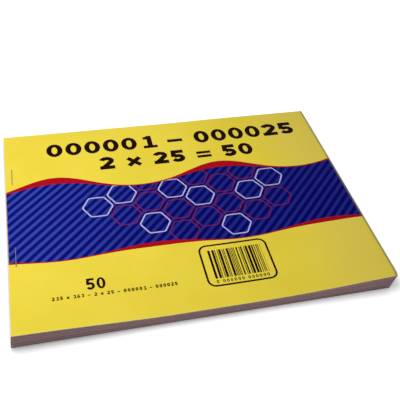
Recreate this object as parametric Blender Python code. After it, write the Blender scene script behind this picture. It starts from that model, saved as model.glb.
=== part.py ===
"""Duplicate delivery note book: a pad of paired leaves, side-stapled between two covers.

The spine is at -X, the fore-edge at +X, the front edge (tail) at -Y and the head at +Y.
The book lies closed on Z = 0, and the origin is the middle of its underside.
"""
import bpy
import bmesh
from math import cos, pi, sin

# Driving dimensions, in metres
BOOK_LENGTH = 0.215
BOOK_DEPTH = 0.163
BINDING_MARGIN = 0.012
CREASE_GAP = 0.0003
BACK_COVER_THICKNESS = 0.0008
FRONT_COVER_THICKNESS = 0.0003
LEAF_THICKNESS = 0.0001
LEAF_AIR = 0.000038
ROLL_RADIUS = 0.0025
WIRE_DIAMETER = 0.0005
CROWN_LENGTH = 0.015
CLINCH_LENGTH = 0.0045
WIRE_BEND_RADIUS = 0.0004
STAPLE_FROM_SPINE = 0.0053
UPPER_STAPLE_FROM_HEAD = 0.041
LOWER_STAPLE_FROM_TAIL = 0.054
LEG_CLEARANCE = 0.00015
WIRE_SEAT_GAP = 0.00002

# Counts
SETS = 25
LEAVES_PER_SET = 2
BEND_STEPS = 4
WIRE_BEVEL_RESOLUTION = 2

# Sizes that follow from the driving dimensions
SPINE_X = -BOOK_LENGTH / 2
FORE_X = BOOK_LENGTH / 2
TAIL_Y = -BOOK_DEPTH / 2
HEAD_Y = BOOK_DEPTH / 2
CREASE_X = SPINE_X + BINDING_MARGIN
BOUND_END_X = CREASE_X - CREASE_GAP / 2
FLAP_START_X = CREASE_X + CREASE_GAP / 2
LEAF_PITCH = LEAF_THICKNESS + LEAF_AIR
LEAF_COUNT = SETS * LEAVES_PER_SET
PAD_BOTTOM_Z = BACK_COVER_THICKNESS + LEAF_AIR
PAD_TOP_Z = PAD_BOTTOM_Z + LEAF_COUNT * LEAF_PITCH - LEAF_AIR
COVER_BOTTOM_Z = PAD_TOP_Z + LEAF_AIR
COVER_TOP_Z = COVER_BOTTOM_Z + FRONT_COVER_THICKNESS
TURN_AXIS = (CREASE_X, 0.0, COVER_TOP_Z + ROLL_RADIUS)
WIRE_RADIUS = WIRE_DIAMETER / 2
STAPLE_X = SPINE_X + STAPLE_FROM_SPINE
STAPLE_CENTRES_Y = {
    "upper_staple": HEAD_Y - UPPER_STAPLE_FROM_HEAD,
    "lower_staple": TAIL_Y + LOWER_STAPLE_FROM_TAIL,
}
LEG_OFFSET_Y = CROWN_LENGTH / 2 - WIRE_RADIUS
CROWN_Z = COVER_TOP_Z + WIRE_SEAT_GAP + WIRE_RADIUS
CLINCH_Z = WIRE_SEAT_GAP + WIRE_RADIUS


def clear_scene():
    for old in list(bpy.data.objects):
        bpy.data.objects.remove(old, do_unlink=True)


def make_material(name, colour, roughness, metallic=0.0):
    material = bpy.data.materials.new(name)
    material.use_nodes = True
    shader = material.node_tree.nodes["Principled BSDF"]
    shader.inputs["Base Color"].default_value = (*colour, 1.0)
    shader.inputs["Roughness"].default_value = roughness
    shader.inputs["Metallic"].default_value = metallic
    material.diffuse_color = (*colour, 1.0)
    return material


def add_object(name, data, material, origin=(0.0, 0.0, 0.0)):
    piece = bpy.data.objects.new(name, data)
    piece.location = origin
    data.materials.append(material)
    bpy.context.scene.collection.objects.link(piece)
    return piece


def slab_mesh(name, low, high, origin=(0.0, 0.0, 0.0)):
    """A closed rectangular slab between two corners, drawn relative to an origin."""
    size = [b - a for a, b in zip(low, high)]
    middle = [(a + b) / 2 - o for a, b, o in zip(low, high, origin)]
    slab = bmesh.new()
    bmesh.ops.create_cube(slab, size=1.0)
    bmesh.ops.scale(slab, vec=size, verts=slab.verts)
    bmesh.ops.translate(slab, vec=middle, verts=slab.verts)
    mesh = bpy.data.meshes.new(name)
    slab.to_mesh(mesh)
    slab.free()
    return mesh


def add_cutter(name, low, high):
    """A guide solid that is subtracted from the bound pieces and never shown."""
    cutter = bpy.data.objects.new(name, slab_mesh(name, low, high))
    cutter.hide_render = True
    cutter.display_type = "WIRE"
    bpy.context.scene.collection.objects.link(cutter)
    return cutter


def cut(piece, cutters):
    for cutter in cutters:
        modifier = piece.modifiers.new(cutter.name, "BOOLEAN")
        modifier.operation = "DIFFERENCE"
        modifier.solver = "EXACT"
        modifier.object = cutter


def bound_slab(name, material, bottom, top, cutters):
    """A fixed piece of the binding margin, pierced where the staple legs pass."""
    low = (SPINE_X, TAIL_Y, bottom)
    high = (BOUND_END_X, HEAD_Y, top)
    piece = add_object(name, slab_mesh(name, low, high), material)
    cut(piece, cutters)
    return piece


def turning_flap(name, material, bottom, thickness):
    """A sheet from the crease to the fore-edge, with its origin on the turning axis."""
    low = (FLAP_START_X, TAIL_Y, bottom)
    high = (FORE_X, HEAD_Y, bottom + thickness)
    return add_object(name, slab_mesh(name, low, high, TURN_AXIS), material, TURN_AXIS)


def staple_cutters(name, centre_y):
    """Leg slots through the margin, and the grooves that the clinched legs press into the back."""
    half_width = WIRE_RADIUS + LEG_CLEARANCE
    bottom = -WIRE_DIAMETER
    slot_top = CROWN_Z + WIRE_DIAMETER
    groove_top = CLINCH_Z + WIRE_RADIUS + LEG_CLEARANCE
    cutters = []
    for side, label in ((-1, "tail"), (1, "head")):
        outer = centre_y + side * (LEG_OFFSET_Y + half_width)
        slot_inner = centre_y + side * (LEG_OFFSET_Y - WIRE_BEND_RADIUS - half_width)
        groove_inner = centre_y + side * (LEG_OFFSET_Y - CLINCH_LENGTH - LEG_CLEARANCE)
        for kind, inner, top in (("slot", slot_inner, slot_top), ("groove", groove_inner, groove_top)):
            low = (STAPLE_X - half_width, min(inner, outer), bottom)
            high = (STAPLE_X + half_width, max(inner, outer), top)
            cutters.append(add_cutter(f"{name}_{label}_{kind}", low, high))
    return cutters


def rounded_path(corners, radius, steps):
    """Points along a polyline in the YZ plane whose square corners are rounded by arcs."""
    points = [corners[0]]
    for before, corner, after in zip(corners, corners[1:], corners[2:]):
        arrive = unit(before, corner)
        leave = unit(corner, after)
        centre = [c + radius * (b - a) for c, a, b in zip(corner, arrive, leave)]
        for step in range(steps + 1):
            turn = step / steps * pi / 2
            points.append(tuple(
                m + radius * (a * sin(turn) - b * cos(turn))
                for m, a, b in zip(centre, arrive, leave)
            ))
    points.append(corners[-1])
    return points


def unit(start, end):
    length = sum((b - a) ** 2 for a, b in zip(start, end)) ** 0.5
    return [(b - a) / length for a, b in zip(start, end)]


def add_staple(name, centre_y, material):
    """One wire: crown on the front cover, two legs through the pad, ends clinched inward."""
    tip_y = LEG_OFFSET_Y - CLINCH_LENGTH
    corners = [
        (-tip_y, CLINCH_Z),
        (-LEG_OFFSET_Y, CLINCH_Z),
        (-LEG_OFFSET_Y, CROWN_Z),
        (LEG_OFFSET_Y, CROWN_Z),
        (LEG_OFFSET_Y, CLINCH_Z),
        (tip_y, CLINCH_Z),
    ]
    path = rounded_path(corners, WIRE_BEND_RADIUS, BEND_STEPS)
    wire = bpy.data.curves.new(name, "CURVE")
    wire.dimensions = "3D"
    wire.bevel_depth = WIRE_RADIUS
    wire.bevel_resolution = WIRE_BEVEL_RESOLUTION
    wire.use_fill_caps = True
    spline = wire.splines.new("POLY")
    spline.points.add(len(path) - 1)
    for point, (y, z) in zip(spline.points, path):
        point.co = (0.0, y, z, 1.0)
    return add_object(name, wire, material, (STAPLE_X, centre_y, 0.0))


def build_book():
    clear_scene()
    cover_card = make_material("cover_card", (0.88, 0.71, 0.05), 0.35)
    back_board = make_material("back_board", (0.80, 0.64, 0.07), 0.60)
    original_paper = make_material("original_paper", (0.86, 0.86, 0.84), 0.85)
    copy_paper = make_material("copy_paper", (0.78, 0.48, 0.60), 0.85)
    bound_paper = make_material("bound_paper", (0.72, 0.58, 0.64), 0.85)
    steel_wire = make_material("steel_wire", (0.62, 0.62, 0.60), 0.30, 1.0)

    cutters = []
    for name, centre_y in STAPLE_CENTRES_Y.items():
        cutters += staple_cutters(name, centre_y)

    back = slab_mesh("back_cover", (SPINE_X, TAIL_Y, 0.0), (FORE_X, HEAD_Y, BACK_COVER_THICKNESS))
    cut(add_object("back_cover", back, back_board), cutters)
    bound_slab("bound_stubs", bound_paper, PAD_BOTTOM_Z, PAD_TOP_Z, cutters)
    bound_slab("front_cover_strip", cover_card, COVER_BOTTOM_Z, COVER_TOP_Z, cutters)

    # Leaves are counted from the top of the pad, each white original above its tinted copy
    for leaf in range(LEAF_COUNT):
        number = leaf // LEAVES_PER_SET + 1
        kind, paper = (("original", original_paper), ("copy", copy_paper))[leaf % LEAVES_PER_SET]
        bottom = PAD_TOP_Z - LEAF_THICKNESS - leaf * LEAF_PITCH
        turning_flap(f"{kind}_{number:02d}", paper, bottom, LEAF_THICKNESS)
    turning_flap("front_cover", cover_card, COVER_BOTTOM_Z, FRONT_COVER_THICKNESS)

    for name, centre_y in STAPLE_CENTRES_Y.items():
        add_staple(name, centre_y, steel_wire)


build_book()
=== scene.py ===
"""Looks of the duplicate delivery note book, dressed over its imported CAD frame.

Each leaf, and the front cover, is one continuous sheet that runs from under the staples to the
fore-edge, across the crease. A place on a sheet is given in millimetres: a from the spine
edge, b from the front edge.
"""
import random
from math import cos, pi, sin

import bpy
import numpy as np
from mathutils import Matrix, Vector
from mathutils.geometry import delaunay_2d_cdt


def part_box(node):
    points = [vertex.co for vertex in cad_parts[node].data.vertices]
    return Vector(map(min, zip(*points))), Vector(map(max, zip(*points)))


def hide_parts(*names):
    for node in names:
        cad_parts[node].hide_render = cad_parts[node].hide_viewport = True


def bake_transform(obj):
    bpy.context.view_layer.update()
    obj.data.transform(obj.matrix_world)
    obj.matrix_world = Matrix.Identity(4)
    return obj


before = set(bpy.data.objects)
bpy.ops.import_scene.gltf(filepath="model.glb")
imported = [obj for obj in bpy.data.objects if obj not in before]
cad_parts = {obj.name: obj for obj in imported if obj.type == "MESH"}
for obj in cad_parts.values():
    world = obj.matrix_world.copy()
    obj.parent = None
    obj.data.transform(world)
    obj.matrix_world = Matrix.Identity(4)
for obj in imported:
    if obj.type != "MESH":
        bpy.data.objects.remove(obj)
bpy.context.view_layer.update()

# The frame's sizes, in millimetres
MM = 1000
COVER_LOW, COVER_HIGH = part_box("front_cover")
BACK_LOW, BACK_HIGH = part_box("back_cover")
LENGTH = (BACK_HIGH.x - BACK_LOW.x) * MM
DEPTH = (BACK_HIGH.y - BACK_LOW.y) * MM
CREASE = (COVER_LOW.x - BACK_LOW.x) * MM

# Sheets: thickness, the stretch that bends, and how unevenly the leaves were stacked
SETS = 25
LEAF = 0.098
CARD = 0.28
BEND_START = CREASE - 2.0
BEND_END = CREASE + 9.0
SLIP = 0.12
SKEW = 0.0006
LAST_SEED = 900
SHARP_EDGE = 0.6
DICE = random.Random(7)

# Grid lines of a sheet, the lines at its front corner as shares of the blunted reach
COVER_GRID = 12.0
LEAF_GRID = 14.0
BEND_GRID = 1.0
MARGIN_GRID = (2.5, 6.0)
AFTER_BEND = 7.0
BEND_COLUMNS = 3
CORNER_GRID = (0.12, 0.3, 0.5, 0.75, 1)

# Cutting a sheet: points this near merge, triangles this small are dropped, points this near are on an edge
SNAP = 1e-4
SLIVER = 1e-9
ON_EDGE = 1e-3

# Shape of the closed book: raised corners, sunk middle, lean, rolled rim and blunted corner
LEFT_LIFT = 1.84
LEFT_LIFT_LENGTH = 86.0
LEFT_LIFT_DEPTH = 44.0
LEFT_LIFT_POWER = 1.2
RIGHT_LIFT = 2.70
RIGHT_LIFT_START = 130.0
RIGHT_LIFT_POWER = 1.4
BACK_LIFT = 0.45
BACK_LIFT_START = 110.0
BACK_LIFT_FULL = 160.0
SINK = 1.41
SINK_START = 12.0
SINK_FULL = 80.0
SINK_EASE = 150.0
LEAN_SPINE = 1.05
LEAN_FORE = 3.2
ROLL_WIDTH = 2.2
ROLL_DROP = 0.45
CORNER_REACH = 4.0
CORNER_PUSH = 0.55
CORNER_POWER = 1.5

# Material slots of the cover and of a leaf
YELLOW, BLUE, RED, WHITE, FINE_RED, DARK, CARD_EDGE, CARD_BACK = range(8)
PAPER, PAPER_EDGE, RULE_INK, BAR_INK, OVAL_INK, NUMBER_INK, SLIT_SHADE = range(7)

# The cover's striped band, its stripes at an angle in radians, between two red waves
STRIPE_PITCH = 4.6
STRIPE_SLOPE = 0.79
WAVE = 108.0
WAVE_POINTS = 87
LOW_CREST = 84.0
LOW_LEVEL = 50.2
LOW_SWING = 2.8
LOW_LINE = 0.7
LOW_SWELL = 2.8
HIGH_CREST = 30.0
HIGH_LEVEL = 107
HIGH_SWING = 4.5
HIGH_LINE = 0.9
HIGH_SWELL = 5.0

# Hexagon outlines on the band, each given by its column and row in a honeycomb
HEXAGON_A = 54
HEXAGON_B = 59
HEXAGON_PITCH = 10.8
HEXAGON_RADIUS = 9.8
OUTER_ROUNDING = 2.4
INNER_ROUNDING = 1.6
RED_LINE = 0.8
WHITE_LINE = 0.85
WHITE_HEXAGONS = ((0, 1), (1, 2), (2, 0), (3, 2), (4, 1), (5, 0), (6, 1), (7, 2))
RED_HEXAGONS = (
    (1, 1), (2, 1), (2, 2), (3, 0), (3, 1), (4, 0),
    (4, 2), (5, 1), (5, 2), (6, 0), (6, 2), (7, 1),
)

# Rows of figures on the cover: text, a, b, then each figure's width, height, pen and gap
SPACE_SHARE = 0.45
COVER_FIGURES = (
    ("000001 - 000025", 27, 138, 10.6, 13, 3.4, 1.9),
    ("2 x 25 = 50", 60, 120.8, 9.8, 12.2, 3.3, 1.9),
    ("50", 40.2, 23.8, 4.8, 8.0, 1.55, 1.0),
    ("215 x 163 - 2 x 25 - 000001 - 000025", 21.5, 19.2, 1.55, 2.4, 0.62, 0.6),
)

# Bar code: its frame's corners, rounding and line, its bars, and the noughts under them
CODE_FRAME = (106.4, 14, 148, 45, 5, 1.2)
BAR_LOW = 19.6
BAR_HIGH = 40.6
BARS_START = 111.6
BARS_END = 143.6
BAR_WIDTHS = (0.5, 0.5, 0.9, 1.4)
BAR_GAPS = (0.4, 0.4, 0.7, 1.0)
BAR_SEED = 11
CODE_FIGURES = ("0 000000 000000", BARS_START, 16.3, 1.5, 2.3, 0.5, 0.75)

# The form on a leaf: its heading bar by corners and rounding, its oval by middle and halves
RULE = 0.3
HEADING_BAR = (80, 143, 140, 152, 1.5)
NUMBER_OVAL = (184, 147, 21, 5.5)
OVAL_LINE = 0.4
NUMBER_FIGURES = (175, 144.6, 3.6, 4.8, 0.8, 1.0)
ADDRESS_RULES = (136, 128, 120)
ADDRESS_COLUMNS = ((24, 118), (124, 206))
TABLE_LEFT = 22
TABLE_RIGHT = 208
TABLE_BOTTOM = 30
TABLE_TOP = 114
TABLE_ROUNDING = 2
TABLE_LINE = 0.5
TABLE_HEAD_LOW = 106
TABLE_HEAD_HIGH = 110
TABLE_FIRST_RULE = 37
TABLE_RULE_STEP = 7
TABLE_COLUMNS = (42, 140, 172)
SIGNING_RULE = 14
SIGNING_COLUMNS = ((24, 84), (90, 146), (152, 206))
# Perforation slits beside the crease, drawn as grey dashes of painted shade
SLIT_A = 15.9
SLIT_WIDTH = 0.2
SLIT_START = 1
SLIT_LENGTH = 1.1
SLIT_STEP = 2.02
SLITS = 80

# Most of a noise lies in this range, which is spread over a material's two shades
NOISE_RANGE = (0.3, 0.7)

# Studio, in metres
FLOOR_HALF = 3.0
FLOOR_Z = -0.0002
FLOOR_GLOW_RANGE = (0.10, 0.43)
FLOOR_GLOW = (0.34, 1.0)
# The floor's painted shadow: its glow dimmed by ambient occlusion near the object
PAINTED_SHADOW_REACH = 0.012
PAINTED_SHADOW_POWER = 1.5
PAINTED_SHADOW_SAMPLES = 16
SKY_LIGHT = 0.22
KEY_PLACE = (-0.130, 0.02, 0.35)
KEY_TARGET = (-0.08, 0.0, 0.0)
KEY_SIZE = (0.25, 0.24)
KEY_POWER = 1.12
CAMERA_PLACE = (-0.07594, -0.27648, 0.28915)
CAMERA_FORWARD = (0.21753, 0.68525, -0.69507)
CAMERA_RIGHT = (0.96933, -0.23510, 0.07158)
CAMERA_SENSOR = 36.0
CAMERA_LENS = 57.354


def smooth(low, high, value):
    part = np.clip((value - low) / (high - low), 0, 1)
    return part * part * (3 - 2 * part)


def lift(a, b):
    """How far the closed book's cover stands above or below flat."""
    back = b / DEPTH
    front = 1 - back
    left_reach = np.clip(1 - a / LEFT_LIFT_LENGTH, 0, 1) ** LEFT_LIFT_POWER
    left = LEFT_LIFT * left_reach * np.clip(1 - b / LEFT_LIFT_DEPTH, 0, 1)
    right_reach = np.clip((a - RIGHT_LIFT_START) / (LENGTH - RIGHT_LIFT_START), 0, None)
    right = RIGHT_LIFT * right_reach ** RIGHT_LIFT_POWER * front
    behind = BACK_LIFT * smooth(BACK_LIFT_START, BACK_LIFT_FULL, a) * back
    middle = SINK * smooth(SINK_START, SINK_FULL, a) * (1 - smooth(SINK_EASE, LENGTH, a)) * front
    rolled = ROLL_DROP * np.clip((a - LENGTH + ROLL_WIDTH) / ROLL_WIDTH, 0, 1) ** 2
    return left + right + behind - middle - rolled


def knock(a, b):
    """How far the fore-edge's front corner, blunted by use, is pushed in and down."""
    away = np.hypot(LENGTH - a, b)
    return CORNER_PUSH * np.clip(1 - away / CORNER_REACH, 0, 1) ** CORNER_POWER


def lean(a):
    """How far the front cover has slid towards the fore-edge over the back cover."""
    return LEAN_SPINE + (LEAN_FORE - LEAN_SPINE) * a / LENGTH


def share(z):
    """0 at the back cover's inside and 1 at the front cover, for a height in metres."""
    return (z - BACK_HIGH.z) / (COVER_HIGH.z - BACK_HIGH.z)


def segments(outline):
    """The closed outline's sides, as pairs of points."""
    ring = np.array(outline, float)
    return np.stack([ring, np.roll(ring, -1, axis=0)], axis=1)


def joined(*parts):
    return np.concatenate(parts)


def box(a0, b0, a1, b1):
    return segments([(a0, b0), (a1, b0), (a1, b1), (a0, b1)])


def rounded_box(a0, b0, a1, b1, radius, steps=6):
    corners = [
        (a1 - radius, b1 - radius),
        (a0 + radius, b1 - radius),
        (a0 + radius, b0 + radius),
        (a1 - radius, b0 + radius),
    ]
    outline = []
    for quarter, (a, b) in enumerate(corners):
        for step in range(steps + 1):
            turn = (quarter + step / steps) * pi / 2
            outline.append((a + radius * cos(turn), b + radius * sin(turn)))
    return segments(outline)


def frame_line(a0, b0, a1, b1, radius, line):
    inner = rounded_box(a0 + line, b0 + line, a1 - line, b1 - line, radius - line)
    return joined(rounded_box(a0, b0, a1, b1, radius), inner)


def oval(a, b, half_a, half_b, steps=40):
    turns = [2 * pi * step / steps for step in range(steps)]
    return segments([(a + half_a * cos(t), b + half_b * sin(t)) for t in turns])


def soft_hexagon(a, b, radius, rounding, steps=3):
    """A hexagon with a flat top whose corners are rounded."""
    outline = []
    inner = radius - rounding * 2 / 3 ** 0.5
    for corner in range(6):
        middle = corner * pi / 3
        for step in range(steps + 1):
            turn = middle + (step / steps - 0.5) * pi / 3
            outline.append((a + inner * cos(middle) + rounding * cos(turn),
                            b + inner * sin(middle) + rounding * sin(turn)))
    return segments(outline)


def hexagon_line(a, b, line):
    inner_radius = HEXAGON_RADIUS - line * 2 / 3 ** 0.5
    return joined(soft_hexagon(a, b, HEXAGON_RADIUS, OUTER_ROUNDING),
                  soft_hexagon(a, b, inner_radius, INNER_ROUNDING))


def stroke(path, width):
    """The outline of a pen stroke with square ends along a path."""
    path = np.array(path, float)
    along = np.diff(path, axis=0)
    along /= np.linalg.norm(along, axis=1)[:, None]
    side = np.stack([-along[:, 1], along[:, 0]], 1)
    before = joined(side[:1], side)
    after = joined(side, side[-1:])
    reach = (before + after) / (1 + (before * after).sum(1))[:, None] * width / 2
    return segments(joined(path + reach, (path - reach)[::-1]))


def bow(a, b, half_a, half_b, start, end, steps=18):
    """Points along part of an oval, between two angles in degrees."""
    turns = np.radians(np.linspace(start, end, steps))
    return [(a + half_a * cos(t), b + half_b * sin(t)) for t in turns]


def loop(a, b, half_a, half_b, pen, thinning):
    """A closed oval stroke, thinner at its top and bottom than at its sides."""
    return joined(oval(a, b, half_a, half_b), oval(a, b, half_a - pen, half_b - thinning * pen))


def figure(sign, wide, high, pen):
    """The strokes of one plain broad figure, from its lower left corner."""
    middle = wide / 2
    half_pen = pen / 2
    curve = middle - half_pen
    low_loop = loop(middle, 0.3 * high, middle, 0.3 * high, pen, 0.8)
    shoulder = (middle + 0.8 * curve, high - half_pen)
    arm = [shoulder, *bow(middle, 0.36 * high, curve, 0.64 * high - half_pen, 80, 190)]

    def level(height, width):
        return stroke([(0, height), (wide, height)], width)

    def upright(place):
        return stroke([(place, 0), (place, high)], pen)

    match sign:
        case "0":
            return [loop(middle, high / 2, middle, high / 2, pen, 0.85)]
        case "1":
            flag = [(middle - 0.7 * pen, 0.80 * high), (middle + half_pen, high - 0.45 * pen)]
            foot = [(middle - 0.9 * pen, 0.4 * pen), (middle + 1.9 * pen, 0.4 * pen)]
            return [upright(middle + half_pen), stroke(flag, 0.8 * pen), stroke(foot, 0.8 * pen)]
        case "2":
            neck = bow(middle, 0.68 * high, curve, 0.32 * high - half_pen, 168, -28)
            return [stroke([*neck, (half_pen * 1.5, 0.6 * pen)], pen), level(half_pen, pen)]
        case "3":
            top = bow(middle, 0.73 * high, 0.9 * curve, 0.27 * high - 0.4 * pen, 160, -90)
            bottom = bow(middle, 0.3 * high, curve, 0.3 * high - 0.4 * pen, 90, -165)
            return [stroke(top, 0.9 * pen), stroke(bottom, 0.9 * pen)]
        case "4":
            slant = [(0.06 * wide, 0.3 * high), (0.70 * wide, high - 0.3 * pen)]
            return [upright(0.72 * wide), level(0.3 * high, 0.9 * pen), stroke(slant, 0.85 * pen)]
        case "5":
            top = [(0.94 * wide, high - half_pen), (0.4 * pen, high - half_pen)]
            back = [(0.8 * pen, high), (0.6 * pen, 0.44 * high)]
            belly = bow(middle - 0.02 * wide, 0.33 * high, curve, 0.33 * high - half_pen, 140, -155)
            return [stroke(top, pen), stroke(back, pen), stroke(belly, pen)]
        case "6":
            return [low_loop, stroke(arm, 0.95 * pen)]
        case "7":
            slant = [(wide - 0.7 * pen, high - half_pen), (0.30 * wide, 0)]
            return [level(high - half_pen, pen), stroke(slant, pen)]
        case "8":
            return [low_loop, loop(middle, 0.73 * high, 0.92 * middle, 0.27 * high, pen, 0.8)]
        case "9":
            turned_arm = [(wide - x, high - y) for x, y in arm]
            high_loop = loop(middle, 0.7 * high, middle, 0.3 * high, pen, 0.8)
            return [high_loop, stroke(turned_arm, 0.95 * pen)]
        case "-":
            return [level(0.42 * high, 0.85 * pen)]
        case "x":
            rising = [(0.1 * wide, 0.1 * high), (0.9 * wide, 0.72 * high)]
            falling = [(0.1 * wide, 0.72 * high), (0.9 * wide, 0.1 * high)]
            return [stroke(rising, 0.95 * pen), stroke(falling, 0.95 * pen)]
        case "=":
            return [level(0.26 * high, 0.75 * pen), level(0.58 * high, 0.75 * pen)]
    return []


def figures(slot, text, a, b, wide, high, pen, gap):
    """A line of figures as print layers."""
    layers = []
    for sign in text:
        layers += [(slot, outline + (a, b)) for outline in figure(sign, wide, high, pen)]
        a += (SPACE_SHARE * wide if sign == " " else wide) + gap
    return layers


def inside(outlines, points):
    """True where a point lies inside the outlines, by the even-odd rule."""
    start_a, start_b = outlines[:, 0].T
    end_a, end_b = outlines[:, 1].T
    a, b = points[:, 0:1], points[:, 1:2]
    rise = np.where(end_b == start_b, 1.0, end_b - start_b)
    crossed = (start_b > b) != (end_b > b)
    at = start_a + (b - start_b) * (end_a - start_a) / rise
    return (crossed & (a < at)).sum(1) % 2 == 1


def grid_lines(step):
    """Lines across the sheet where it may bend: close together beside the crease."""
    bend = np.arange(BEND_START - BEND_GRID, BEND_END + 1.5 * BEND_GRID, BEND_GRID)
    corner = CORNER_REACH * np.array(CORNER_GRID)
    plain = np.linspace(BEND_END + AFTER_BEND, LENGTH - step, int(LENGTH / step) - BEND_COLUMNS)
    columns = [*MARGIN_GRID, *bend, *plain, *(LENGTH - corner)]
    rows = [*corner, *np.linspace(0, DEPTH, int(DEPTH / step) + 1)[1:-1]]
    upright = [[(a, 0), (a, DEPTH)] for a in columns]
    level = [[(0, b), (LENGTH, b)] for b in rows]
    return np.array(upright + level, float)


def cut_face(outlines):
    """Points and triangles of a sheet's face, cut along every outline given."""
    cuts = joined(box(0, 0, LENGTH, DEPTH), *outlines)
    ends = cuts.reshape(-1, 2)
    pairs = [(2 * i, 2 * i + 1) for i in range(len(cuts))]
    found = delaunay_2d_cdt([Vector(p) for p in ends], pairs, [], 0, SNAP, False)
    points = np.array([tuple(p) for p in found[0]])
    faces = np.array([f for f in found[2] if len(f) == 3])
    side = points[faces[:, 1]] - points[faces[:, 0]]
    other = points[faces[:, 2]] - points[faces[:, 0]]
    area = side[:, 0] * other[:, 1] - side[:, 1] * other[:, 0]
    faces[area < 0] = faces[area < 0][:, ::-1]
    return points, faces[np.abs(area) > SLIVER]


def edge_order(points):
    """Indices of the points on the sheet's four edges, once round."""
    a, b = points[:, 0], points[:, 1]
    along = np.full(len(points), np.nan)
    along = np.where(a < ON_EDGE, 2 * LENGTH + 2 * DEPTH - b, along)
    along = np.where(b > DEPTH - ON_EDGE, 2 * LENGTH + DEPTH - a, along)
    along = np.where(a > LENGTH - ON_EDGE, LENGTH + b, along)
    along = np.where(b < ON_EDGE, a, along)
    order = np.argsort(along)
    return order[~np.isnan(along[order])]


class Print:
    """A sheet's printed face and plain back, cut once and used for every sheet that carries it."""

    def __init__(self, layers, step):
        grid = grid_lines(step)
        self.points, self.faces = cut_face([grid] + [outline for slot, outline in layers])
        centres = self.points[self.faces].mean(1)
        self.slots = np.zeros(len(self.faces), int)
        for slot, outline in layers:
            self.slots[inside(outline, centres)] = slot
        self.rim = edge_order(self.points)
        self.back_points, self.back_faces = cut_face([grid, segments(self.points[self.rim])])
        self.back_rim = edge_order(self.back_points)
        if len(self.rim) != len(self.back_rim):
            raise ValueError("the two faces of a sheet have different edges")


def make_sheet(
    name, work, thick, heights, materials, rim_slot, back_slot, slip=(0.0, 0.0), skew=0.0, seed=0.0
):
    """One sheet of paper or card, lying in the closed book midway between two heights in metres."""
    middle = sum(heights) / 2
    curl = share(middle)
    flat = joined(work.points, work.back_points)
    upper = np.arange(len(flat)) < len(work.points)
    a, b = flat[:, 0], flat[:, 1]
    pushed = knock(a, b)
    z = middle * MM + np.where(upper, thick / 2, -thick / 2) + curl * (lift(a, b) - pushed)
    x = a + curl * (lean(a) - pushed) + slip[0] - skew * (b - DEPTH / 2)
    y = b + curl * pushed + slip[1] + skew * (a - LENGTH / 2)
    places = np.stack([x / MM + BACK_LOW.x, y / MM + BACK_LOW.y, z / MM], 1)

    back_first = len(work.points)
    rim, back_rim = work.rim, work.back_rim + back_first
    wall = np.stack([rim, back_rim, np.roll(back_rim, -1), np.roll(rim, -1)], 1)
    back = work.back_faces[:, ::-1] + back_first
    faces = work.faces.tolist() + back.tolist() + wall.tolist()
    slots = joined(work.slots, np.full(len(back), back_slot), np.full(len(wall), rim_slot))

    mesh = bpy.data.meshes.new(name)
    mesh.from_pydata(places.tolist(), [], faces)
    for material in materials:
        mesh.materials.append(material)
    mesh.polygons.foreach_set("material_index", slots.astype(np.int32))
    mesh.shade_smooth()
    mesh.set_sharp_from_angle(angle=SHARP_EDGE)
    marks = mesh.attributes.new("sheet_mm", "FLOAT_VECTOR", "POINT")
    marked = np.stack([a, b, np.full(len(a), seed)], 1)
    marks.data.foreach_set("vector", marked.astype(np.float32).ravel())
    sheet = bpy.data.objects.new(name, mesh)
    bpy.context.scene.collection.objects.link(sheet)
    return sheet


def bind(sheet):
    """Bakes the sheet's placement into its mesh."""
    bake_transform(sheet)


def node(tree, kind, inputs, **settings):
    made = tree.nodes.new(kind)
    for key, value in settings.items():
        setattr(made, key, value)
    for key, value in inputs.items():
        if isinstance(value, bpy.types.NodeSocket):
            tree.links.new(value, made.inputs[key])
        else:
            made.inputs[key].default_value = value
    return made


def calculate(tree, operation, first, second):
    return node(tree, "ShaderNodeMath", {0: first, 1: second}, operation=operation).outputs[0]


def carry(tree, value, between, to, **settings):
    """A value carried from one range to another, and held at its ends."""
    inputs = {
        "Value": value,
        "From Min": between[0],
        "From Max": between[1],
        "To Min": to[0],
        "To Max": to[1],
    }
    return node(tree, "ShaderNodeMapRange", inputs, **settings).outputs[0]


def colour(red, green, blue):
    return (red, green, blue, 1.0)


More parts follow.
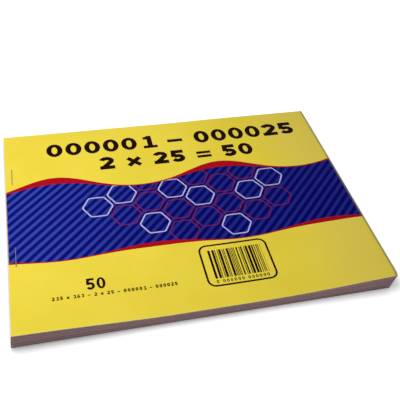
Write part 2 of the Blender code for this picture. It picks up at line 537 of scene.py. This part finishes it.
class Finish:
    """A material whose detail is drawn in millimetres."""

    def __init__(self, name, roughness, specular=0.02, on_sheet=True):
        self.material = bpy.data.materials.new(name)
        self.material.use_nodes = True
        self.tree = self.material.node_tree
        self.shader = self.tree.nodes["Principled BSDF"]
        self.shader.inputs["Roughness"].default_value = roughness
        self.shader.inputs["Specular IOR Level"].default_value = specular
        if on_sheet:
            marks = node(self.tree, "ShaderNodeAttribute", {}, attribute_name="sheet_mm")
            self.place = marks.outputs["Vector"]
        else:
            where = node(self.tree, "ShaderNodeTexCoord", {}).outputs["Object"]
            from_middle = self.vector("MULTIPLY", where, (MM, MM, MM))
            self.place = self.vector("ADD", from_middle, (LENGTH / 2, DEPTH / 2, 0.0))

    def vector(self, operation, first, second):
        made = node(self.tree, "ShaderNodeVectorMath", {0: first, 1: second}, operation=operation)
        return made.outputs["Value" if operation == "DOT_PRODUCT" else "Vector"]

    def math(self, operation, first, second):
        return calculate(self.tree, operation, first, second)

    def noise(self, scale, detail=3.0, stretch=(1, 1, 1)):
        place = self.vector("MULTIPLY", self.place, stretch)
        inputs = {"Vector": place, "Scale": scale, "Detail": detail}
        return node(self.tree, "ShaderNodeTexNoise", inputs).outputs["Fac"]

    def ramp(self, value, between, to=(0.0, 1.0)):
        return carry(self.tree, value, between, to, interpolation_type="SMOOTHSTEP")

    def mix(self, factor, first, second):
        inputs = {0: factor, 6: first, 7: second}
        return node(self.tree, "ShaderNodeMix", inputs, data_type="RGBA").outputs[2]

    def axes(self):
        return node(self.tree, "ShaderNodeSeparateXYZ", {0: self.place}).outputs

    def from_edge(self):
        """Distance to the nearest edge of the sheet."""
        parts = self.axes()
        a = self.math("MINIMUM", parts[0], self.math("SUBTRACT", LENGTH, parts[0]))
        b = self.math("MINIMUM", parts[1], self.math("SUBTRACT", DEPTH, parts[1]))
        return self.math("MINIMUM", a, b)

    def from_fore_edge(self):
        return self.math("SUBTRACT", LENGTH, self.axes()[0])

    def paint(self, shade):
        self.tree.links.new(shade, self.shader.inputs["Base Color"])

    def gloss(self, roughness):
        self.tree.links.new(roughness, self.shader.inputs["Roughness"])

    def bump(self, height, depth_mm, strength):
        inputs = {"Height": height, "Distance": depth_mm / MM, "Strength": strength}
        made = node(self.tree, "ShaderNodeBump", inputs)
        self.tree.links.new(made.outputs[0], self.shader.inputs["Normal"])


def mottled(finish, dark, light, scale):
    return finish.mix(finish.ramp(finish.noise(scale), NOISE_RANGE), dark, light)


def coated(finish, shade):
    """Coated card: a fine tooth, patches of uneven gloss, a paler band along its edges and painted shade
    along the fore-edge.
    """
    ragged = finish.ramp(finish.noise(1.2, detail=2.0), NOISE_RANGE, to=(-0.15, 0.15))
    # A paler band within about half a millimetre of every edge
    edge = finish.math("ADD", finish.from_edge(), ragged)
    edge_band = finish.ramp(edge, between=(0.10, 0.60), to=(0.6, 0.0))
    # Painted shade: the outermost two millimetres of the fore-edge darkened to olive grey
    fore_edge = finish.math("ADD", finish.from_fore_edge(), ragged)
    fore_edge_mask = finish.ramp(fore_edge, between=(0.7, 2.1), to=(0.72, 0.0))
    pale = finish.mix(edge_band, shade, colour(0.87, 0.76, 0.30))
    finish.paint(finish.mix(fore_edge_mask, pale, colour(0.24, 0.22, 0.11)))
    finish.gloss(finish.ramp(finish.noise(0.06, detail=5.0), NOISE_RANGE, to=(0.36, 0.48)))
    finish.bump(finish.noise(2.2, detail=2.0), depth_mm=0.03, strength=0.25)
    return finish.material


def cover_card():
    """Yellow card, specked, and less saturated towards the fore-edge."""
    finish = Finish("yellow_card", roughness=0.4)
    cloud = mottled(finish, colour(0.865, 0.685, 0.054), colour(0.905, 0.722, 0.068), scale=0.03)
    specks = finish.ramp(finish.noise(1.6, detail=1.0), between=(0.70, 0.78), to=(0.0, 0.35))
    # Less saturated towards the fore-edge
    fore_edge_share = finish.ramp(finish.from_fore_edge(), between=(15.0, 55.0), to=(1.0, 0.0))
    muted = finish.mix(fore_edge_share, cloud, colour(0.862, 0.69, 0.094))
    return coated(finish, finish.mix(specks, muted, colour(0.80, 0.60, 0.04)))


def striped_band():
    """Diagonal stripes in two blues, both darker towards the fore-edge."""
    finish = Finish("blue_band", roughness=0.4)
    direction = (-sin(STRIPE_SLOPE) / STRIPE_PITCH, cos(STRIPE_SLOPE) / STRIPE_PITCH, 0)
    wave = finish.math("PINGPONG", finish.vector("DOT_PRODUCT", finish.place, direction), 0.5)
    stripe = finish.ramp(wave, between=(0.14, 0.42))
    fade = finish.ramp(finish.axes()[0], between=(5.0, 115.0))
    dark = finish.mix(fade, colour(0.0004, 0.0045, 0.176), colour(0.0003, 0.0008, 0.115))
    light = finish.mix(fade, colour(0.044, 0.064, 0.420), colour(0.0175, 0.022, 0.260))
    grain = finish.ramp(finish.noise(1.3, detail=2.0), between=(0.35, 0.75), to=(0.0, 0.18))
    return coated(finish, finish.mix(grain, finish.mix(stripe, dark, light), colour(0.002, 0.004, 0.150)))


def printed(name, dark, light):
    finish = Finish(name, roughness=0.4)
    return coated(finish, mottled(finish, dark, light, scale=0.5))


def card_core():
    finish = Finish("card_edge", roughness=0.8, specular=0.3)
    finish.paint(mottled(finish, colour(0.66, 0.53, 0.16), colour(0.84, 0.73, 0.36), scale=0.25))
    finish.bump(finish.noise(3.0), depth_mm=0.05, strength=0.4)
    return finish.material


def card_inside():
    finish = Finish("card_inside", roughness=0.75, specular=0.3)
    finish.paint(mottled(finish, colour(0.74, 0.73, 0.66), colour(0.82, 0.81, 0.75), scale=0.08))
    finish.bump(finish.noise(1.2, detail=4.0), depth_mm=0.04, strength=0.3)
    return finish.material


def paper(name, dark, light, fibre):
    """Uncoated paper: cloudy formation, short fibres and a soft tooth."""
    finish = Finish(name, roughness=0.85, specular=0.25)
    cloud = mottled(finish, dark, light, scale=0.12)
    strand = finish.ramp(finish.noise(0.9, stretch=(1.0, 3.2, 1.0)), between=(0.62, 0.74), to=(0.0, 0.5))
    edge = finish.ramp(finish.from_edge(), between=(0.0, 1.2), to=(0.35, 0.0))
    finish.paint(finish.mix(edge, finish.mix(strand, cloud, fibre), fibre))
    finish.bump(finish.noise(1.8), depth_mm=0.03, strength=0.35)
    return finish.material


def ink(name, dark, light):
    finish = Finish(name, roughness=0.75, specular=0.25)
    finish.paint(mottled(finish, dark, light, scale=0.9))
    return finish.material


def leaf_edge(name, dark, light, paler_tone):
    """Cut edges of paper, paler towards the fore-edge."""
    finish = Finish(name, roughness=0.75, specular=0.25)
    # Paler towards the fore-edge
    fore_edge_mask = finish.ramp(finish.from_fore_edge(), between=(25.0, 100.0), to=(0.6, 0.0))
    finish.paint(finish.mix(fore_edge_mask, mottled(finish, dark, light, scale=0.9), paler_tone))
    return finish.material


def back_board():
    """Uncoated yellow board with short fibres and a grey-brown core along its cut edges."""
    finish = Finish("yellow_board", roughness=0.7, specular=0.3, on_sheet=False)
    cloud = mottled(finish, colour(0.76, 0.60, 0.06), colour(0.84, 0.675, 0.085), scale=0.07)
    fibres = finish.noise(0.7, detail=4.0, stretch=(1.0, 2.6, 1.0))
    strand = finish.ramp(fibres, between=(0.60, 0.72), to=(0.0, 0.32))
    face = finish.mix(strand, cloud, colour(0.62, 0.47, 0.05))
    core = mottled(finish, colour(0.30, 0.22, 0.21), colour(0.44, 0.34, 0.33), scale=0.6)
    finish.paint(finish.mix(finish.ramp(finish.from_edge(), between=(0.05, 0.25)), core, face))
    finish.bump(finish.noise(1.3, detail=4.0), depth_mm=0.05, strength=0.35)
    return finish.material


def drawn_wire():
    """Dull steel wire with drawing marks along it."""
    finish = Finish("drawn_wire", roughness=0.3, on_sheet=False)
    finish.shader.inputs["Metallic"].default_value = 1.0
    finish.paint(mottled(finish, colour(0.16, 0.155, 0.15), colour(0.30, 0.30, 0.295), scale=1.4))
    drawn = finish.noise(3.0, detail=2.0, stretch=(4.0, 0.4, 4.0))
    finish.gloss(finish.ramp(drawn, NOISE_RANGE, to=(0.24, 0.44)))
    finish.bump(finish.noise(6.0, detail=2.0, stretch=(4.0, 0.3, 4.0)), depth_mm=0.02, strength=0.3)
    return finish.material


def strip_between(low, high):
    """The area between two lines that run the whole length of the cover."""
    places = np.linspace(0, LENGTH, WAVE_POINTS)
    return segments([(a, low(a)) for a in places] + [(a, high(a)) for a in places[::-1]])


def swing(a, crest):
    return cos(2 * pi * (a - crest) / WAVE)


def swell(a, crest):
    return (0.5 + 0.5 * swing(a, crest)) ** 2


def front_edge(a):
    return 0


def low_red(a):
    return low_blue(a) - LOW_LINE - LOW_SWELL * swell(a, LOW_CREST)


def low_blue(a):
    return LOW_LEVEL + LOW_SWING * swing(a, LOW_CREST)


def high_blue(a):
    return HIGH_LEVEL + HIGH_SWING * swing(a, HIGH_CREST)


def high_red(a):
    return high_blue(a) + HIGH_LINE + HIGH_SWELL * swell(a, HIGH_CREST)


def head_edge(a):
    return DEPTH


def hexagon_layers(slot, chosen, line):
    layers = []
    for column, row in chosen:
        a = HEXAGON_A + 1.5 * HEXAGON_PITCH * column
        b = HEXAGON_B + 3 ** 0.5 * HEXAGON_PITCH * (row + 0.5 - 0.5 * (column % 2))
        layers.append((slot, hexagon_line(a, b, line)))
    return layers


def bar_code_layers():
    """A rounded frame around bars of random widths, with a row of noughts under them."""
    layers = [(DARK, frame_line(*CODE_FRAME))]
    dice = random.Random(BAR_SEED)
    a = BARS_START
    while a < BARS_END:
        width = dice.choice(BAR_WIDTHS)
        layers.append((DARK, box(a, BAR_LOW, min(a + width, BARS_END), BAR_HIGH)))
        a += width + dice.choice(BAR_GAPS)
    return layers + figures(DARK, *CODE_FIGURES)


def cover_layers():
    """The cover's print, from the ground up: (material slot, outlines)."""
    layers = [(BLUE, strip_between(low_blue, high_blue))]
    layers += hexagon_layers(FINE_RED, RED_HEXAGONS, RED_LINE)
    layers += hexagon_layers(WHITE, WHITE_HEXAGONS, WHITE_LINE)
    layers.append((RED, strip_between(low_red, low_blue)))
    layers.append((RED, strip_between(high_blue, high_red)))
    layers.append((YELLOW, strip_between(front_edge, low_red)))
    layers.append((YELLOW, strip_between(high_red, head_edge)))
    for row in COVER_FIGURES:
        layers += figures(DARK, *row)
    return layers + bar_code_layers()


def form_layers(number):
    """The form on a leaf: rules, boxes and a heading bar without words, and its set's number."""
    left = TABLE_LEFT + TABLE_LINE
    right = TABLE_RIGHT - TABLE_LINE
    bottom = TABLE_BOTTOM + TABLE_LINE
    table = frame_line(TABLE_LEFT, TABLE_BOTTOM, TABLE_RIGHT, TABLE_TOP, TABLE_ROUNDING, TABLE_LINE)
    oval_a, oval_b, half_a, half_b = NUMBER_OVAL
    inner_oval = oval(oval_a, oval_b, half_a - OVAL_LINE, half_b - OVAL_LINE)
    layers = [(BAR_INK, rounded_box(*HEADING_BAR)), (OVAL_INK, oval(*NUMBER_OVAL))]
    layers.append((RULE_INK, joined(oval(*NUMBER_OVAL), inner_oval)))
    layers += figures(NUMBER_INK, f"{number:04d}", *NUMBER_FIGURES)
    for b in ADDRESS_RULES:
        for start, end in ADDRESS_COLUMNS:
            layers.append((RULE_INK, box(start, b, end, b + RULE)))
    layers.append((RULE_INK, table))
    layers.append((BAR_INK, box(left, TABLE_HEAD_LOW, right, TABLE_HEAD_HIGH)))
    for b in range(TABLE_FIRST_RULE, TABLE_HEAD_LOW, TABLE_RULE_STEP):
        layers.append((RULE_INK, box(left, b, right, b + RULE)))
    for a in TABLE_COLUMNS:
        layers.append((RULE_INK, box(a, bottom, a + RULE, TABLE_HEAD_LOW)))
    for start, end in SIGNING_COLUMNS:
        layers.append((RULE_INK, box(start, SIGNING_RULE, end, SIGNING_RULE + RULE)))
    # Painted shade for the perforation slits
    for step in range(SLITS):
        b = SLIT_START + SLIT_STEP * step
        layers.append((SLIT_SHADE, box(SLIT_A, b, SLIT_A + SLIT_WIDTH, b + SLIT_LENGTH)))
    return layers


def dress_cover():
    materials = [
        cover_card(),
        striped_band(),
        printed("red_print", colour(0.385, 0.0025, 0.007), colour(0.46, 0.0055, 0.012)),
        printed("white_print", colour(0.48, 0.47, 0.70), colour(0.57, 0.56, 0.80)),
        printed("fine_red_print", colour(0.16, 0.009, 0.050), colour(0.25, 0.014, 0.065)),
        printed("dark_print", colour(0.007, 0.0008, 0.0005), colour(0.014, 0.002, 0.0015)),
        card_core(),
        card_inside(),
    ]
    work = Print(cover_layers(), COVER_GRID)
    heights = (COVER_LOW.z, COVER_HIGH.z)
    cover = make_sheet("cover_sheet", work, CARD, heights, materials, CARD_EDGE, CARD_BACK)
    bind(cover)
    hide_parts("front_cover", "front_cover_strip")


def leaf_inks(kind, oval_dark, oval_light):
    return [
        ink(f"{kind}_rule", colour(0.09, 0.16, 0.50), colour(0.14, 0.22, 0.58)),
        ink(f"{kind}_bar", colour(0.04, 0.10, 0.46), colour(0.07, 0.15, 0.54)),
        ink(f"{kind}_oval", oval_dark, oval_light),
        ink(f"{kind}_number", colour(0.52, 0.03, 0.04), colour(0.62, 0.05, 0.06)),
        # Painted shade inside the perforation slits
        ink(f"{kind}_slit", colour(0.30, 0.27, 0.28), colour(0.42, 0.38, 0.39)),
    ]


def original_materials():
    dark, light, fibre = colour(0.82, 0.82, 0.80), colour(0.89, 0.89, 0.87), colour(0.74, 0.73, 0.70)
    face = paper("white_paper", dark, light, fibre)
    paler_tone = colour(0.99, 0.70, 0.70)
    edge = leaf_edge("white_edge", colour(0.65, 0.435, 0.44), colour(0.765, 0.54, 0.53), paler_tone)
    return [face, edge] + leaf_inks("original", colour(0.62, 0.6944, 0.806), colour(0.70, 0.784, 0.91))


def copy_materials():
    dark, light, fibre = colour(0.74, 0.45, 0.56), colour(0.82, 0.52, 0.64), colour(0.66, 0.38, 0.50)
    face = paper("pink_paper", dark, light, fibre)
    paler_tone = colour(0.94, 0.48, 0.54)
    edge = leaf_edge("pink_edge", colour(0.615, 0.295, 0.345), colour(0.725, 0.378, 0.415), paler_tone)
    return [face, edge] + leaf_inks("copy", colour(0.589, 0.527, 0.713), colour(0.665, 0.595, 0.805))


def dress_leaves():
    """Every leaf, stacked a little unevenly; the leaves' margins together stand for the bound stubs."""
    kinds = {"original": original_materials(), "copy": copy_materials()}
    for number in range(1, SETS + 1):
        work = Print(form_layers(number), LEAF_GRID)
        for kind, materials in kinds.items():
            name = f"{kind}_{number:02d}"
            low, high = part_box(name)
            slip = (DICE.uniform(-SLIP, SLIP), DICE.uniform(-SLIP, SLIP))
            skew = DICE.uniform(-SKEW, SKEW)
            seed = DICE.uniform(0, LAST_SEED)
            heights = (low.z, high.z)
            sheet = make_sheet(
                f"{name}_sheet", work, LEAF, heights, materials, PAPER_EDGE, PAPER, slip, skew, seed
            )
            bind(sheet)
            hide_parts(name, *(["bound_stubs"] if name == "copy_25" else []))


def dress_nodes():
    board, wire = back_board(), drawn_wire()
    for name, material in (("back_cover", board), ("upper_staple", wire), ("lower_staple", wire)):
        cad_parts[name].material_slots[0].material = material


def direct_view(tree):
    """1 for what the camera sees directly, in a mirror or through glass."""
    path = node(tree, "ShaderNodeLightPath", {}).outputs
    either = calculate(tree, "MAXIMUM", path["Is Camera Ray"], path["Is Glossy Ray"])
    return calculate(tree, "MAXIMUM", either, path["Is Transmission Ray"])


def pale_floor():
    """A matt floor that is seen as white, with the object's shadow left on it and a painted shadow where its
    glow is dimmed near the object.
    """
    material = bpy.data.materials.new("pale_floor")
    material.use_nodes = True
    tree = material.node_tree
    tree.nodes.remove(tree.nodes["Principled BSDF"])
    where = node(tree, "ShaderNodeTexCoord", {}).outputs["Object"]
    under_key = {0: where, 1: (KEY_PLACE[0], KEY_PLACE[1], 0.0)}
    far = node(tree, "ShaderNodeVectorMath", under_key, operation="DISTANCE").outputs["Value"]
    strength = carry(tree, far, FLOOR_GLOW_RANGE, FLOOR_GLOW)
    # Painted shadow: the glow fades by ambient occlusion near the object
    reach = {"Distance": PAINTED_SHADOW_REACH}
    open_air = node(tree, "ShaderNodeAmbientOcclusion", reach, samples=PAINTED_SHADOW_SAMPLES).outputs["AO"]
    painted_shadow_factor = calculate(tree, "POWER", open_air, PAINTED_SHADOW_POWER)
    glow_strength = calculate(tree, "MULTIPLY", strength, painted_shadow_factor)
    matt = node(tree, "ShaderNodeBsdfDiffuse", {"Color": colour(0.45, 0.45, 0.45)})
    pale = node(tree, "ShaderNodeBsdfDiffuse", {"Color": colour(0.95, 0.95, 0.95)})
    glow = node(tree, "ShaderNodeEmission", {"Color": colour(1, 1, 1), "Strength": glow_strength})
    both = node(tree, "ShaderNodeAddShader", {0: pale.outputs[0], 1: glow.outputs[0]})
    seen = node(tree, "ShaderNodeMixShader", {0: direct_view(tree), 1: matt.outputs[0], 2: both.outputs[0]})
    tree.links.new(seen.outputs[0], tree.nodes["Material Output"].inputs["Surface"])
    return material


def make_floor():
    mesh = bpy.data.meshes.new("floor")
    corners = [(x * FLOOR_HALF, y * FLOOR_HALF, FLOOR_Z) for x, y in ((-1, -1), (1, -1), (1, 1), (-1, 1))]
    mesh.from_pydata(corners, [], [(0, 1, 2, 3)])
    mesh.materials.append(pale_floor())
    floor = bpy.data.objects.new("floor", mesh)
    bpy.context.scene.collection.objects.link(floor)


def make_world():
    """Even light from all round, seen as white."""
    world = bpy.data.worlds.new("studio")
    world.use_nodes = True
    tree = world.node_tree
    dim = tree.nodes["Background"]
    dim.inputs["Color"].default_value = colour(1, 1, 1)
    dim.inputs["Strength"].default_value = SKY_LIGHT
    bright = node(tree, "ShaderNodeBackground", {"Color": colour(1, 1, 1), "Strength": 1.0})
    shown = node(tree, "ShaderNodeMixShader", {0: direct_view(tree), 1: dim.outputs[0], 2: bright.outputs[0]})
    tree.links.new(shown.outputs[0], tree.nodes["World Output"].inputs["Surface"])
    bpy.context.scene.world = world


def make_key():
    lamp = bpy.data.lights.new("key", "AREA")
    lamp.shape = "RECTANGLE"
    lamp.size, lamp.size_y = KEY_SIZE
    lamp.energy = KEY_POWER
    light = bpy.data.objects.new("key", lamp)
    light.location = KEY_PLACE
    aim = Vector(KEY_TARGET) - Vector(KEY_PLACE)
    light.rotation_euler = aim.to_track_quat("-Z", "Y").to_euler()
    bpy.context.scene.collection.objects.link(light)


def make_camera():
    forward = Vector(CAMERA_FORWARD).normalized()
    right = Vector(CAMERA_RIGHT).normalized()
    up = right.cross(forward).normalized()
    right = forward.cross(up)
    lens = bpy.data.cameras.new("camera")
    lens.sensor_width = CAMERA_SENSOR
    lens.lens = CAMERA_LENS
    camera = bpy.data.objects.new("camera", lens)
    turned = Matrix((right, up, -forward)).transposed()
    camera.matrix_world = Matrix.Translation(CAMERA_PLACE) @ turned.to_4x4()
    bpy.context.scene.collection.objects.link(camera)
    bpy.context.scene.camera = camera


dress_cover()
dress_leaves()
dress_nodes()
make_floor()
make_world()
make_key()
make_camera()
bpy.context.scene.view_settings.view_transform = "Standard"
